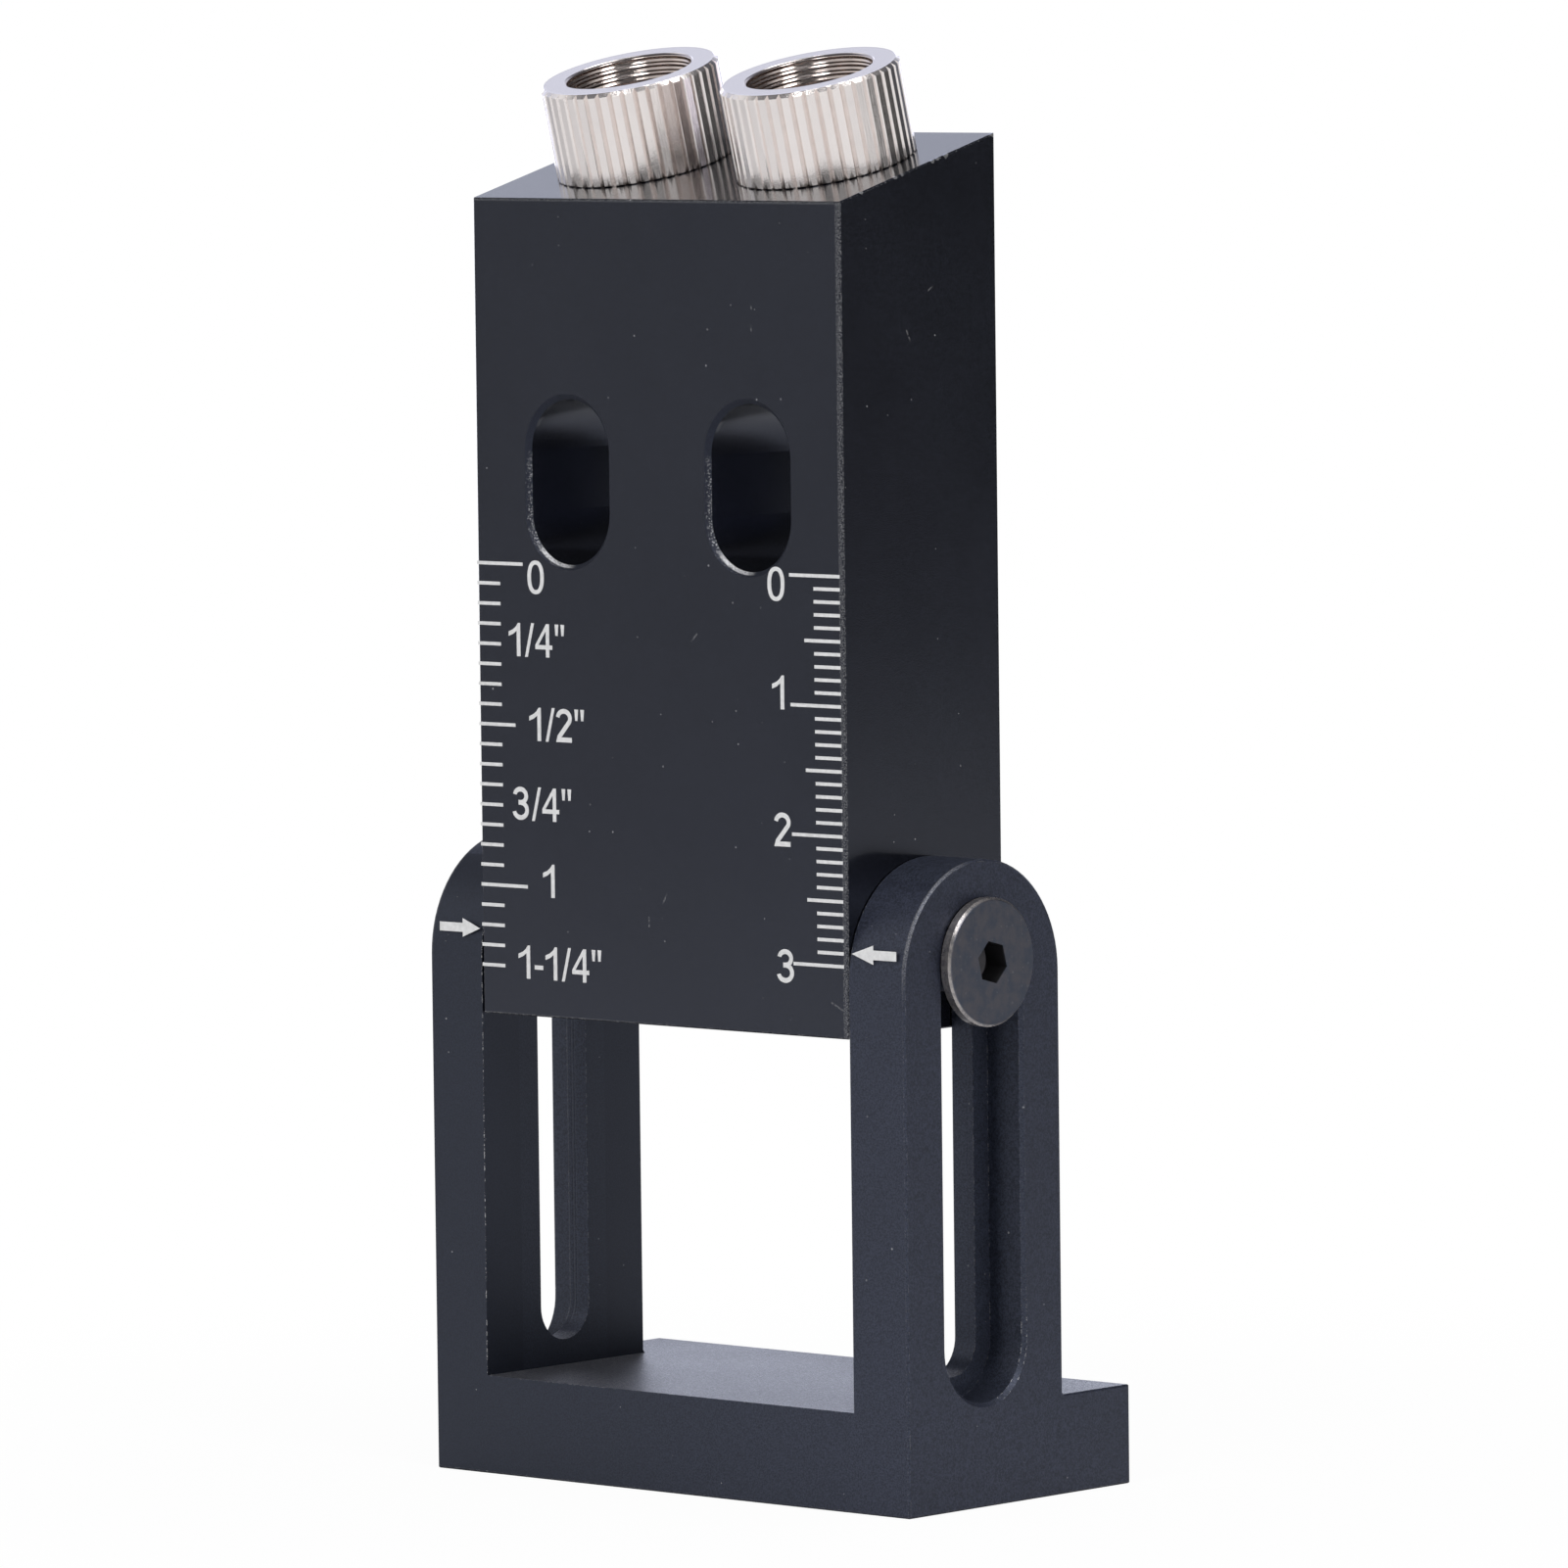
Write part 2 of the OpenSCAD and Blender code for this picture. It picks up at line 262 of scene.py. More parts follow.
# Rubbed edges: a mask along the edges of the solid, broken up into patches and grains
def rubbed_edge_group():
    tree, given, out = new_group("rubbed_edge", {"Place": "vector", "Reach": "value", "Grain": "value",
                                                 "Least": "value"}, {"Mask": "value"})
    rounded = tree.nodes.new("ShaderNodeBevel")
    rounded.samples = 6
    feed(tree, rounded.inputs["Radius"], given["Reach"])
    plain = tree.nodes.new("ShaderNodeNewGeometry").outputs["Normal"]
    alike = vector_calc(tree, "DOT_PRODUCT", rounded.outputs[0], plain, result="Value")
    turned = opposite(tree, alike)
    grain = noise(tree, given["Place"], given["Grain"], detail=3.0, roughness=0.7)
    near = ramp(tree, turned, 0.004, 0.12)
    feed(tree, out["Mask"], calc(tree, "MULTIPLY", near, ramp(tree, grain, given["Least"],
                                                              calc(tree, "ADD", given["Least"], 0.08))))
    return tree


# Ragged patch round one point, for a chip or a nick
def patch_group():
    tree, given, out = new_group("patch", {"Place": "vector", "Centre": "vector", "Reach": "value"},
                                 {"Mask": "value"})
    far = vector_calc(tree, "DISTANCE", given["Place"], given["Centre"], result="Value")
    ragged = noise(tree, given["Place"], 3500.0, detail=2.0)
    share = calc(tree, "DIVIDE", far, given["Reach"])
    uneven = calc(tree, "MULTIPLY_ADD", ragged, 1.6, calc(tree, "SUBTRACT", share, 0.8))
    feed(tree, out["Mask"], ramp(tree, uneven, 1.0, 0.85))
    return tree


# Thin scratch from one point to another, broken up along its length
def scratch_group():
    tree, given, out = new_group("scratch", {"Place": "vector", "Start": "vector", "Along": "vector",
                                             "Width": "value"}, {"Mask": "value"})
    offset = vector_calc(tree, "SUBTRACT", given["Place"], given["Start"])
    length = vector_calc(tree, "DOT_PRODUCT", given["Along"], given["Along"], result="Value")
    passed = vector_calc(tree, "DOT_PRODUCT", offset, given["Along"], result="Value")
    share = calc(tree, "DIVIDE", passed, length, clamp=True)
    nearest = scaled(tree, given["Along"], share)
    far = vector_calc(tree, "DISTANCE", offset, nearest, result="Value")
    broken = ramp(tree, noise(tree, given["Place"], 5000.0, detail=2.0), 0.4, 0.6, 0.1, 1.0)
    near = ramp(tree, far, given["Width"], calc(tree, "MULTIPLY", given["Width"], 0.3))
    feed(tree, out["Mask"], calc(tree, "MULTIPLY", near, broken))
    return tree


# Place in a bore's own frame: the height along its axis, the radius and the turn
def bore_frame_group():
    tree, given, out = new_group("bore_frame", {"Place": "vector", "Centre": "vector", "Lean": "value"},
                                 {"Height": "value", "Radius": "value", "Turn": "value"})
    turn = tree.nodes.new("ShaderNodeVectorRotate")
    turn.rotation_type = "X_AXIS"
    feed(tree, turn.inputs["Vector"], vector_calc(tree, "SUBTRACT", given["Place"], given["Centre"]))
    feed(tree, turn.inputs["Angle"], given["Lean"])
    x, y, z = split(tree, turn.outputs["Vector"])
    feed(tree, out["Height"], z)
    feed(tree, out["Radius"], vector_calc(tree, "LENGTH", join(tree, x, y, 0.0), result="Value"))
    feed(tree, out["Turn"], calc(tree, "ARCTAN2", y, x))
    return tree


FACE_PLACE = face_place_group()
BLASTED_GRAIN = blasted_grain_group()
SPECKS = specks_group()
RUBBED_EDGE = rubbed_edge_group()
PATCH = patch_group()
SCRATCH = scratch_group()
BORE_FRAME = bore_frame_group()


def new_material(name):
    material = bpy.data.materials.new(name)
    material.use_nodes = True
    tree = material.node_tree
    tree.nodes.clear()
    surface = tree.nodes.new("ShaderNodeBsdfPrincipled")
    tree.links.new(surface.outputs[0], tree.nodes.new("ShaderNodeOutputMaterial").inputs[0])
    return material, tree, surface.inputs


BARE_METAL = (0.72, 0.72, 0.73, 1)
DUST_GREY = (0.30, 0.30, 0.31, 1)


# Black dyed anodising on blasted aluminium, with bare metal where the mask says so
def anodised_finish(tree, surface, place, colour, sheen, bare, height, rough, grit):
    flat = use_group(tree, FACE_PLACE, Place=place, Facing=facing_of(tree))["Flat"]
    grain = use_group(tree, BLASTED_GRAIN, Place=place, Grain=FINE_GRAIN, Cloud=60.0)
    dust = use_group(tree, SPECKS, Flat=flat, Spacing=2.6 * MM, Size=0.11 * MM, Share=0.16)
    speckled = ramp(tree, noise(tree, place, 6500.0, detail=3.0, roughness=0.8), 0.36, 0.64, 0.1, 1.9)
    shade = calc(tree, "MULTIPLY", speckled, ramp(tree, grain["Tone"], 0.2, 0.8, 0.8, 1.2))
    dyed = blend(tree, dust["Mask"], scaled(tree, colour, shade), DUST_GREY)
    feed(tree, surface["Base Color"], blend(tree, bare, dyed, BARE_METAL))
    feed(tree, surface["Metallic"], bare)
    feed(tree, surface["Roughness"],
         calc(tree, "ADD", rough, ramp(tree, grain["Tone"], 0.2, 0.8, -0.03, 0.03)))
    surface["IOR"].default_value = 1.56
    surface["Specular Tint"].default_value = sheen
    blasted = calc(tree, "MULTIPLY", grain["Height"], grit)
    feed(tree, surface["Normal"], bump(tree, calc(tree, "ADD", blasted, height), 0.5, MM))


BLOCK_DYE = (0.0042, 0.0046, 0.0066)
BLOCK_SHEEN = (0.66, 0.74, 1.04, 1)
TOP_SLOPE = math.tan(math.radians(15))
FRONT_TOP = BLOCK_HIGH.z - (BLOCK_HIGH.y - BLOCK_LOW.y) * TOP_SLOPE
# Room round the chip windows, from the block's middle and by height, and the depth of their broken edges
WINDOW_SIDES = (5.3 * MM, 13.7 * MM)
WINDOW_ENDS = (BLOCK_LOW.z + 35 * MM, BLOCK_LOW.z + 49.3 * MM)
WINDOW_EDGE_DEPTH = 0.6 * MM
# Chips along the right edge of the block's slanted top: share of the way back, and reach in millimetres
TOP_CHIPS = ((0.985, 0.30), (0.68, 0.26), (0.63, 0.20), (0.60, 0.24), (0.40, 0.16), (0.36, 0.2), (0.14, 0.18))
# Short scratches on the block's front and right side: both ends as x, depth from the front and height above
# the underside, in millimetres
RIGHT_SIDE = BLOCK_HIGH.x / MM
SCRATCHES = (((3.4, 0, 30.1), (4.0, 0, 30.7)), ((17.6, 0, 2.75), (18.8, 0, 2.2)),
             ((0.1, 0, 9.6), (0.5, 0, 10.3)), ((-1.4, 0, 8.4), (-1.4, 0, 7.7)),
             ((10.0, 0, 56.3), (10.1, 0, 56.0)), ((10.0, 0, 54.7), (10.1, 0, 54.2)),
             ((RIGHT_SIDE, 7.6, 54.2), (RIGHT_SIDE, 8.0, 53.4)),
             ((RIGHT_SIDE, 10.2, 57.2), (RIGHT_SIDE, 10.7, 57.5)))
SCRATCH_WIDTH = 0.1 * MM
SCRATCH_SHOWS = 0.18


# Broken edges of the chip windows: they slope back from the front, away from the block's own edges
def window_edges(tree, place, facing):
    x, y, z = split(tree, place)
    near_front = ramp(tree, y, BLOCK_LOW.y + WINDOW_EDGE_DEPTH, BLOCK_LOW.y + 0.8 * WINDOW_EDGE_DEPTH)
    sloped = between(tree, calc(tree, "MULTIPLY", facing[1], -1.0), 0.62, 0.80, 0.02)
    inward = ramp(tree, calc(tree, "ABSOLUTE", x), BLOCK_HIGH.x - 2 * MM, BLOCK_HIGH.x - 3 * MM)
    below_top = ramp(tree, z, BLOCK_HIGH.z - 13 * MM, BLOCK_HIGH.z - 14 * MM)
    above_foot = ramp(tree, z, BLOCK_LOW.z + MM, BLOCK_LOW.z + 2 * MM)
    return all_of(tree, near_front, sloped, inward, below_top, above_foot)


# Bare grains down the lower left of a window's edge
def window_grains(tree, place, facing):
    y, z = split(tree, place)[1:]
    lower_left = all_of(tree, ramp(tree, facing[0], -0.10, 0.10), ramp(tree, facing[2], -0.05, 0.03),
                        ramp(tree, z, BLOCK_LOW.z + 46 * MM, BLOCK_LOW.z + 43 * MM))
    deep = ramp(tree, y, BLOCK_LOW.y + 0.02 * MM, BLOCK_LOW.y + 0.3 * MM)
    least = calc(tree, "MULTIPLY_ADD", deep, -0.08, 0.60)
    grains = noise(tree, place, 8500.0, detail=2.0, roughness=0.7)
    scattered = ramp(tree, grains, least, calc(tree, "ADD", least, 0.14), 0.0, 0.8)
    # Lowest on the left the rubbed line is nearly solid but less than half as wide
    solid = all_of(tree, ramp(tree, facing[2], 0.40, 0.56), ramp(tree, deep, 0.45, 0.7),
                   ramp(tree, grains, 0.36, 0.52, 0.25, 1.0))
    return calc(tree, "MULTIPLY", lower_left, most(tree, scattered, solid))


# Narrow margins along the block's sides, its slanted top and its underside
def outer_margins(tree, place):
    x, y, z = split(tree, place)
    below_slope = calc(tree, "ADD", z, calc(tree, "MULTIPLY", y, -TOP_SLOPE))
    slope = BLOCK_HIGH.z - BLOCK_HIGH.y * TOP_SLOPE
    return most(tree, ramp(tree, calc(tree, "ABSOLUTE", x), BLOCK_HIGH.x - 0.7 * MM, BLOCK_HIGH.x - 0.5 * MM),
                ramp(tree, below_slope, slope - 0.6 * MM, slope - 0.4 * MM),
                ramp(tree, z, BLOCK_LOW.z + 0.6 * MM, BLOCK_LOW.z + 0.4 * MM))


# Dull band along the front's right edge, partly wear and partly a painted highlight standing in for the light
# on the rounded edge, and thin worn lines along its upper edge and the left half of its lower edge
def front_wear_and_highlight(tree, place):
    x, y, z = split(tree, place)
    fine = noise(tree, place, FINE_GRAIN, detail=3.0, roughness=0.7)
    # Painted highlight: a bare band beside the front's right edge, partly wear
    highlight_band = all_of(tree, ramp(tree, x, BLOCK_HIGH.x - 0.55 * MM, BLOCK_HIGH.x - 0.42 * MM),
                  ramp(tree, y, BLOCK_LOW.y + 0.2 * MM, BLOCK_LOW.y + 0.1 * MM),
                  ramp(tree, fine, 0.45, 0.66, 0.01, 0.26))
    at_front = ramp(tree, y, BLOCK_LOW.y + 0.12 * MM, BLOCK_LOW.y + 0.04 * MM)
    upper = all_of(tree, at_front, ramp(tree, z, FRONT_TOP - 0.26 * MM, FRONT_TOP - 0.14 * MM),
                   ramp(tree, fine, 0.38, 0.66, 0.015, 0.14))
    lower = all_of(tree, at_front, ramp(tree, z, BLOCK_LOW.z + 0.2 * MM, BLOCK_LOW.z + 0.1 * MM),
                   ramp(tree, fine, 0.48, 0.68, 0.0, 0.45), ramp(tree, x, 2 * MM, -6 * MM))
    return most(tree, highlight_band, upper, lower)


def chips_and_scratches(tree, place):
    masks = []
    for share, reach in TOP_CHIPS:
        edge = Vector((BLOCK_HIGH.x, BLOCK_LOW.y + share * (BLOCK_HIGH.y - BLOCK_LOW.y), 0))
        edge.z = BLOCK_HIGH.z - (BLOCK_HIGH.y - edge.y) * TOP_SLOPE
        masks.append(use_group(tree, PATCH, Place=place, Centre=edge, Reach=reach * MM)["Mask"])
    for first, last in SCRATCHES:
        start = Vector((0, BLOCK_LOW.y, BLOCK_LOW.z)) + Vector(first) * MM
        along = (Vector(last) - Vector(first)) * MM
        scratch = use_group(tree, SCRATCH, Place=place, Start=start, Along=along, Width=SCRATCH_WIDTH)
        masks.append(calc(tree, "MULTIPLY", scratch["Mask"], SCRATCH_SHOWS))
    return most(tree, *masks)


def block_finish():
    material, tree, surface = new_material("anodised_block")
    place = place_of(tree)
    x, y, z = split(tree, place)
    facing = split(tree, facing_of(tree))
    window_edge = window_edges(tree, place, facing)
    grains = calc(tree, "MULTIPLY", window_edge, window_grains(tree, place, facing))
    rubbed = use_group(tree, RUBBED_EDGE, Place=place, Reach=0.14 * MM, Grain=4200.0, Least=0.54)["Mask"]
    edges = calc(tree, "MULTIPLY", all_of(tree, rubbed, outer_margins(tree, place)), 0.7)
    bare = most(tree, grains, edges, front_wear_and_highlight(tree, place), chips_and_scratches(tree, place))
    slanted = between(tree, facing[2], 0.94, 0.99, 0.01)
    rough = calc(tree, "MULTIPLY_ADD", slanted, -0.05, calc(tree, "MULTIPLY_ADD", window_edge, 0.35, 0.24))
    anodised_finish(tree, surface, place, BLOCK_DYE, BLOCK_SHEEN, bare, height=0.0, rough=rough, grit=0.010)
    # The anodising's sealed skin is glossiest on the slanted top, and gone from the windows and their edges
    inside = all_of(tree, between(tree, calc(tree, "ABSOLUTE", x), *WINDOW_SIDES),
                    between(tree, z, *WINDOW_ENDS),
                    between(tree, y, BLOCK_LOW.y + 0.8 * MM, BLOCK_HIGH.y - 0.2 * MM))
    sealed = opposite(tree, most(tree, inside, window_edge))
    skin = calc(tree, "MULTIPLY", sealed, calc(tree, "MULTIPLY_ADD", slanted, 0.35, 0.35))
    feed(tree, surface["Coat Weight"], skin)
    surface["Coat Roughness"].default_value = 0.08
    return material


# Painted shade across the frame: its dye is darker on the left and paler on the right
FRAME_SHADED_LEFT = (0.003, 0.004, 0.007, 1)
FRAME_LIT_RIGHT = (0.014, 0.016, 0.026, 1)
# Painted light: the slots' walls and tracks are painted paler than the rest of the frame, against the shade
# in them
SLOT_PAINTED_LIGHT = (0.018, 0.021, 0.032, 1)
# Painted sheen: the level tops of the bar and the foot are painted much paler than the dye
LEVEL_PAINTED_SHEEN = (0.062, 0.063, 0.074, 1)
FRAME_SHEEN = (0.86, 0.95, 1.26, 1)
ARM_MIDDLE_Y = (BLOCK_LOW.y + BLOCK_HIGH.y) / 2
BAR_TOP = FRAME_LOW.z + 7.8 * MM
# The arms' inner faces and the floors of the screw heads' tracks, from the frame's middle
ARM_INNER = FRAME_HIGH.x - 5.6 * MM
TRACK_FLOOR = FRAME_HIGH.x - 3.5 * MM
# Half the room across a slot with its track
SLOT_ROOM = 5.0 * MM


def slot_room(tree, y, z):
    off_middle = calc(tree, "ABSOLUTE", calc(tree, "SUBTRACT", y, ARM_MIDDLE_Y))
    return all_of(tree, ramp(tree, off_middle, SLOT_ROOM, 0.97 * SLOT_ROOM),
                  ramp(tree, z, BAR_TOP + 0.05 * MM, BAR_TOP + 0.15 * MM))


# Lines that the cutter left along the slots' walls, strongest on the left
def cutter_lines(tree, x, z, facing):
    wall = ramp(tree, calc(tree, "ABSOLUTE", facing[0]), 0.5, 0.3)
    lines = ramp(tree, noise(tree, join(tree, x, 0.0, 0.0), 2600.0, detail=2.0, roughness=0.8), 0.35, 0.5)
    left = ramp(tree, x, 0.0, -10 * MM, 0.15, 1.0)
    return all_of(tree, wall, lines, left, ramp(tree, z, FRAME_LOW.z + 10 * MM, FRAME_LOW.z + 13 * MM))


# How far the rubbed edges show: most down the left arm's inner front edge and at the back of each track's
# foot, faint elsewhere, and not at all behind the front edge of the bar's top
def rubbed_share(tree, x, y, z, in_slot):
    side = calc(tree, "ABSOLUTE", x)
    left_inner = all_of(tree, between(tree, x, BLOCK_LOW.x - 0.4 * MM, BLOCK_LOW.x + 0.2 * MM),
                        ramp(tree, y, FRAME_LOW.y + 1.2 * MM, FRAME_LOW.y + 0.8 * MM))
    track_foot = all_of(tree, in_slot, ramp(tree, z, FRAME_LOW.z + 17 * MM, FRAME_LOW.z + 14 * MM),
                        ramp(tree, y, ARM_MIDDLE_Y, ARM_MIDDLE_Y + 3 * MM),
                        ramp(tree, side, FRAME_HIGH.x - 0.5 * MM, FRAME_HIGH.x - 0.4 * MM))
    behind_edge = all_of(tree, between(tree, z, BAR_TOP - 0.2 * MM, BAR_TOP + 0.3 * MM),
                         ramp(tree, y, FRAME_LOW.y + 0.4 * MM, FRAME_LOW.y + 0.6 * MM))
    shown = calc(tree, "MULTIPLY_ADD", most(tree, left_inner, track_foot), 0.75, 0.2)
    return calc(tree, "MULTIPLY", shown, opposite(tree, behind_edge))


# Line along the front of each arm's outer edge, partly wear and partly a painted highlight: faint where it is
# straight, strong round the top
def arm_edge_wear_and_highlight(tree, place, facing):
    x, y, z = split(tree, place)
    fine = noise(tree, place, FINE_GRAIN, detail=3.0, roughness=0.7)
    near_side = ramp(tree, calc(tree, "ABSOLUTE", x), FRAME_HIGH.x - 0.32 * MM, FRAME_HIGH.x - 0.2 * MM)
    forward = ramp(tree, facing[1], -0.05, -0.35)
    round_top = ramp(tree, z, FRAME_HIGH.z - 11 * MM, FRAME_HIGH.z - 6 * MM)
    faint = ramp(tree, fine, 0.45, 0.75, 0.0, 0.03)
    strong = ramp(tree, fine, 0.35, 0.7, 0.02, 0.28)
    return all_of(tree, near_side, forward, blend_value(tree, round_top, faint, strong))


def frame_finish():
    material, tree, surface = new_material("anodised_frame")
    place = place_of(tree)
    x, y, z = split(tree, place)
    facing = split(tree, facing_of(tree))
    side = calc(tree, "ABSOLUTE", x)
    in_slot = slot_room(tree, y, z)
    sunk = all_of(tree, in_slot, ramp(tree, side, FRAME_HIGH.x - 0.02 * MM, FRAME_HIGH.x - 0.3 * MM),
                  ramp(tree, side, ARM_INNER - 0.05 * MM, ARM_INNER + 0.1 * MM))
    inner = ramp(tree, side, TRACK_FLOOR + 0.1 * MM, TRACK_FLOOR - 0.1 * MM)
    cut_lines = all_of(tree, sunk, inner, cutter_lines(tree, x, z, facing))
    rubbed = use_group(tree, RUBBED_EDGE, Place=place, Reach=0.15 * MM, Grain=2900.0, Least=0.52)["Mask"]
    rub = calc(tree, "MULTIPLY", rubbed, rubbed_share(tree, x, y, z, in_slot))
    # Level tops of the bar and the foot: paler from a painted sheen, and smoother, with glints in the blasted
    # grain
    in_track = calc(tree, "MULTIPLY", in_slot, opposite(tree, inner))
    level = all_of(tree, ramp(tree, facing[2], 0.8, 0.95), opposite(tree, in_track),
                   ramp(tree, z, FRAME_LOW.z + 14 * MM, FRAME_LOW.z + 12 * MM))
    sparkle = noise(tree, place, 5200.0, detail=3.0, roughness=0.8)
    glints = calc(tree, "MULTIPLY", level, ramp(tree, sparkle, 0.54, 0.72, 0.0, 0.45))
    # The arms' edge lines are partly wear and partly a painted highlight
    bare = most(tree, rub, arm_edge_wear_and_highlight(tree, place, facing), glints)
    # Painted shade: the dye grows paler from the left arm to the right
    dye_and_painted_shade = blend(tree, ramp(tree, x, FRAME_LOW.x, FRAME_HIGH.x), FRAME_SHADED_LEFT, FRAME_LIT_RIGHT)
    # The slots get painted light, and the level tops are painted paler as a sheen
    colour = blend(tree, level, blend(tree, sunk, dye_and_painted_shade, SLOT_PAINTED_LIGHT), LEVEL_PAINTED_SHEEN)
    blasted = calc(tree, "MULTIPLY", level, calc(tree, "MULTIPLY", sparkle, 0.15))
    height = calc(tree, "MULTIPLY_ADD", cut_lines, 0.12, blasted)
    rough = calc(tree, "MULTIPLY_ADD", level, -0.09, 0.46)
    anodised_finish(tree, surface, place, colour, FRAME_SHEEN, bare, height, rough, grit=0.016)
    return material


PLATE_DULL = (0.85, 0.795, 0.77, 1)
PLATE_BRIGHT = (0.96, 0.90, 0.87, 1)
# Painted shade: the plate inside the bores is darker and browner than outside
BORE_PLATE_PAINTED_SHADE = (0.70, 0.61, 0.57, 1)
FOOT_BROWN = (0.16, 0.14, 0.13, 1)
RING_PITCH = 0.33 * MM
RING_SLOPE = 0.55
BORE_RADIUS = 5.0 * MM
KNURL_ROOT = 6.8 * MM
KNURL_CREST = 7.1 * MM
# The head's foot, measured along the bore from the middle of the bore
HEAD_FOOT = 0.25 * MM


# Rings that the turning tool left in a bore, as a height in millimetres
def bore_rings(tree, along):
    uneven = noise(tree, join(tree, 0.0, 0.0, along), 1500.0, detail=1.0)
    turned = calc(tree, "PINGPONG", calc(tree, "MULTIPLY_ADD", uneven, 0.5 * MM, along), RING_PITCH / 2)
    drawn = noise(tree, join(tree, 0.0, 0.0, along), FINE_GRAIN, detail=2.0, roughness=0.7)
    return calc(tree, "MULTIPLY_ADD", turned, RING_SLOPE / MM, calc(tree, "MULTIPLY", drawn, 0.02))


# Dark brown tongues that rise from the foot of the knurl's teeth
def knurl_foot_darkening(tree, along, around):
    foot = calc(tree, "ADD", along, -HEAD_FOOT)
    tongue = noise(tree, join(tree, around, 0.0, 0.0), 1800.0, detail=3.0, roughness=0.7)
    tip = calc(tree, "MULTIPLY", ramp(tree, tongue, 0.42, 0.75), 1.9 * MM)
    return calc(tree, "MULTIPLY", ramp(tree, foot, tip, 0.0), ramp(tree, foot, -SOFT, 0.0))


# Turned and knurled nickel plate
def bushing_finish(side):
    material, tree, surface = new_material("nickel_" + side)
    bore = BORES["drill_bore_" + side]
    lean = math.atan2(bore["axis"][1], bore["axis"][2])
    place = place_of(tree)
    local = use_group(tree, BORE_FRAME, Place=place, Centre=bore["pos_m"], Lean=lean)
    in_bore = ramp(tree, local["Radius"], BORE_RADIUS + 0.12 * MM, BORE_RADIUS + 0.05 * MM)
    on_teeth = ramp(tree, local["Radius"], KNURL_ROOT - 0.2 * MM, KNURL_ROOT)
    around = calc(tree, "MULTIPLY", local["Turn"], KNURL_CREST)
    foot_darkening = calc(tree, "MULTIPLY", on_teeth, knurl_foot_darkening(tree, local["Height"], around))
    # Streaks along the knurl, fine across and long down the teeth
    down = calc(tree, "MULTIPLY", local["Height"], 0.06)
    streak = noise(tree, join(tree, around, 0.0, down), 7000.0, detail=3.0)
    grain = use_group(tree, BLASTED_GRAIN, Place=place, Grain=FINE_GRAIN, Cloud=900.0)
    height = calc(tree, "ADD", calc(tree, "MULTIPLY", in_bore, bore_rings(tree, local["Height"])),
                  calc(tree, "MULTIPLY", on_teeth, calc(tree, "MULTIPLY", streak, 0.012)))
    # Painted shade in the bore: a darker, browner plate
    plated = blend(tree, in_bore, blend(tree, grain["Tone"], PLATE_DULL, PLATE_BRIGHT), BORE_PLATE_PAINTED_SHADE)
    surface["Metallic"].default_value = 1.0
    feed(tree, surface["Base Color"], blend(tree, foot_darkening, plated, FOOT_BROWN))
    satin = ramp(tree, grain["Tone"], 0.2, 0.8, 0.17, 0.24)
    feed(tree, surface["Roughness"], blend_value(tree, in_bore, satin, 0.14))
    feed(tree, surface["Normal"],
         bump(tree, calc(tree, "ADD", height, calc(tree, "MULTIPLY", grain["Height"], 0.006)), 1.0, MM))
    return material


OXIDE_BLUE = (0.080, 0.092, 0.122, 1)
OXIDE_BROWN = (0.118, 0.116, 0.134, 1)
DENT_STEEL = (0.42, 0.42, 0.43, 1)
SOCKET_PAINTED_SHADE = (0.055, 0.053, 0.058, 1)
RUBBED_STEEL = (0.44, 0.41, 0.395, 1)
SCREW_HEAD_RADIUS = 5 * MM
SOCKET_RADIUS = 1.8 * MM
# The screws' outer faces, from the jig's middle
SCREW_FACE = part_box("clamp_screw_right")[1].x


# Black oxide on steel, with small dents, a socket darkened by painted shade and a rubbed rim
def screw_finish(side):
    material, tree, surface = new_material("black_oxide_" + side)
    place = place_of(tree)
    x, y, z = split(tree, place)
    axis = SCREW_AXES["screw_" + side + "_turn"]["pos_m"]
    radius = vector_calc(tree, "LENGTH", join(tree, 0.0, calc(tree, "SUBTRACT", y, axis[1]),
                                              calc(tree, "SUBTRACT", z, axis[2])), result="Value")
    flat = use_group(tree, FACE_PLACE, Place=place, Facing=facing_of(tree))["Flat"]
    grain = use_group(tree, BLASTED_GRAIN, Place=place, Grain=5000.0, Cloud=1100.0)
    dents = use_group(tree, SPECKS, Flat=flat, Spacing=0.6 * MM, Size=0.15 * MM, Share=0.4)["Mask"]
    in_socket = all_of(tree, ramp(tree, radius, SOCKET_RADIUS, SOCKET_RADIUS - 0.05 * MM),
                       ramp(tree, calc(tree, "ABSOLUTE", x), SCREW_FACE - 0.05 * MM, SCREW_FACE - 0.15 * MM))
    rim = ramp(tree, radius, SCREW_HEAD_RADIUS - 0.22 * MM, SCREW_HEAD_RADIUS - 0.12 * MM)
    worn = ramp(tree, noise(tree, place, 2400.0, detail=4.0, roughness=0.7), 0.3, 0.65, 0.35, 1.0)
    stained = blend(tree, ramp(tree, grain["Tone"], 0.3, 0.7), OXIDE_BLUE, OXIDE_BROWN)
    dented = blend(tree, calc(tree, "MULTIPLY", dents, 0.14), stained, DENT_STEEL)
    # Painted shade in the hex socket
    colour = blend(tree, in_socket, dented, SOCKET_PAINTED_SHADE)
    surface["Metallic"].default_value = 0.85
    feed(tree, surface["Base Color"], blend(tree, calc(tree, "MULTIPLY", rim, worn), colour, RUBBED_STEEL))
    satin = ramp(tree, grain["Tone"], 0.3, 0.7, 0.34, 0.42)
    feed(tree, surface["Roughness"], calc(tree, "MULTIPLY_ADD", rim, -0.08, satin))
    rise = calc(tree, "MULTIPLY_ADD", dents, -0.5, calc(tree, "MULTIPLY", grain["Height"], 0.8))
    feed(tree, surface["Normal"], bump(tree, rise, 0.5, 0.02 * MM))
    return material


